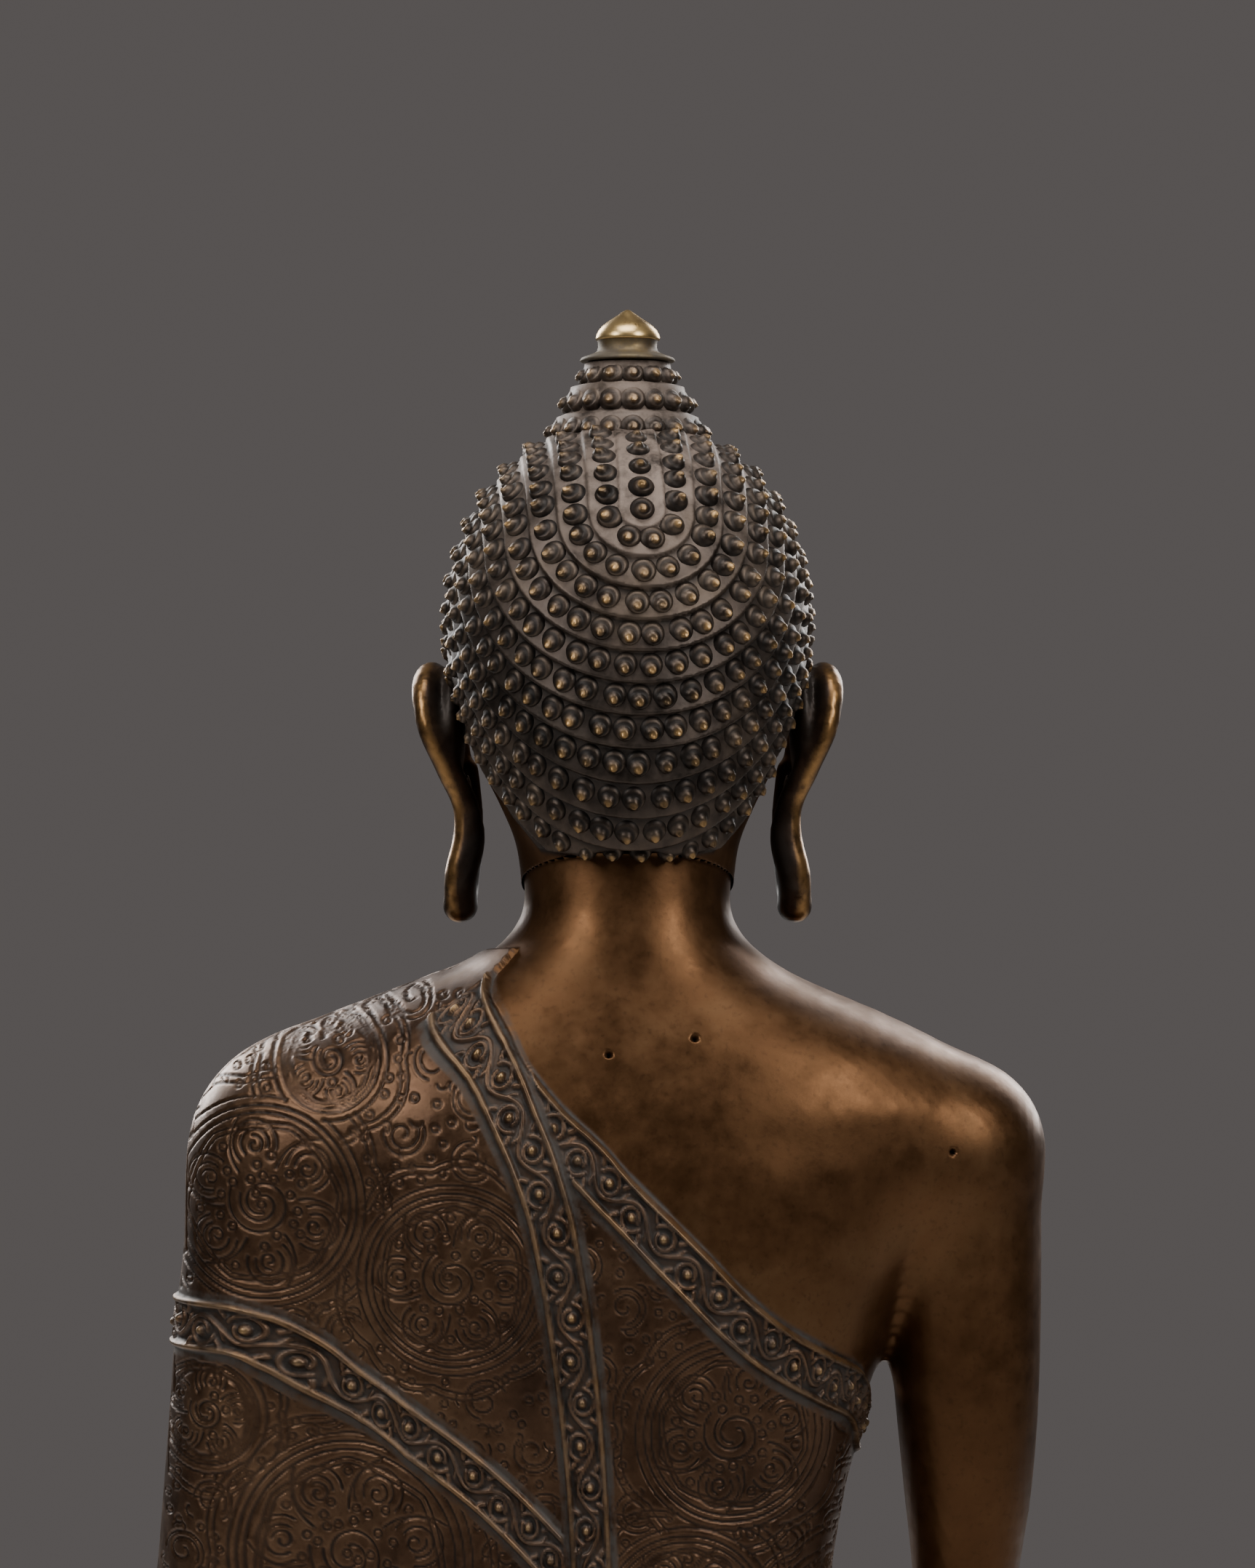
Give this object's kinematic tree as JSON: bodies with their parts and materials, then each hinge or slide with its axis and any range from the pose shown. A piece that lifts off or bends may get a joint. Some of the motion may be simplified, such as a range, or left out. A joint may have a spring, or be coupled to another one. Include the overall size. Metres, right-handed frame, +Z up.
{
  "type": "buddha statue",
  "caption": "Seated Buddha in the earth-touching posture, robe over the left shoulder, with a lift-off alms bowl, on a double lotus throne.",
  "frame": {"origin": "centre of the throne's underside, on the surface that the statue stands on", "axes": "+Z up to the crown jewel, -Y the way the figure faces, -X the figure's bare right arm, +X its robed left arm"},
  "size_m": [0.25, 0.175, 0.34],
  "materials": {
    "jewel_brass": "worn bright brass with a dark collar",
    "head_bronze": "near-black oxidised hair with brass-bright worn tips, warm brown face",
    "robe_bronze": "oxidised red-brown, chased, with worn bright ridges",
    "skin_bronze": "polished warm brown patina",
    "bowl_bronze": "dark patina with a worn rim",
    "throne_bronze": "oxidised brown with worn petal tips",
    "plate_copper": "hammered and engraved sheet",
    "pin_copper": "drawn wire, filed ends",
    "post_wood": "planed juniper, oiled",
    "roll_paper": "handmade paper, saffron-tinted",
    "tie_cotton": "spun cotton thread"
  },
  "bodies": {
    "statue": {"crown_jewel": "jewel_brass", "head": "head_bronze", "neck_pins": "pin_copper", "torso": "robe_bronze", "right_forearm": "skin_bronze", "elbow_pin": "pin_copper", "left_hand": "skin_bronze", "wrist_pin": "pin_copper", "lap": "robe_bronze", "waist_pins": "pin_copper", "lotus_throne": "throne_bronze", "throne_pins": "pin_copper", "base_plate": "plate_copper", "life_post": "post_wood", "mantra_rolls": "roll_paper", "roll_ties": "tie_cotton"},
    "bowl": {"alms_bowl": "bowl_bronze"}
  },
  "joints": [
    {"name": "bowl_lift", "type": "slide", "parent": "statue", "child": "bowl", "axis": [0, 0, 1], "range_m": [0, 0.06]}
  ]
}
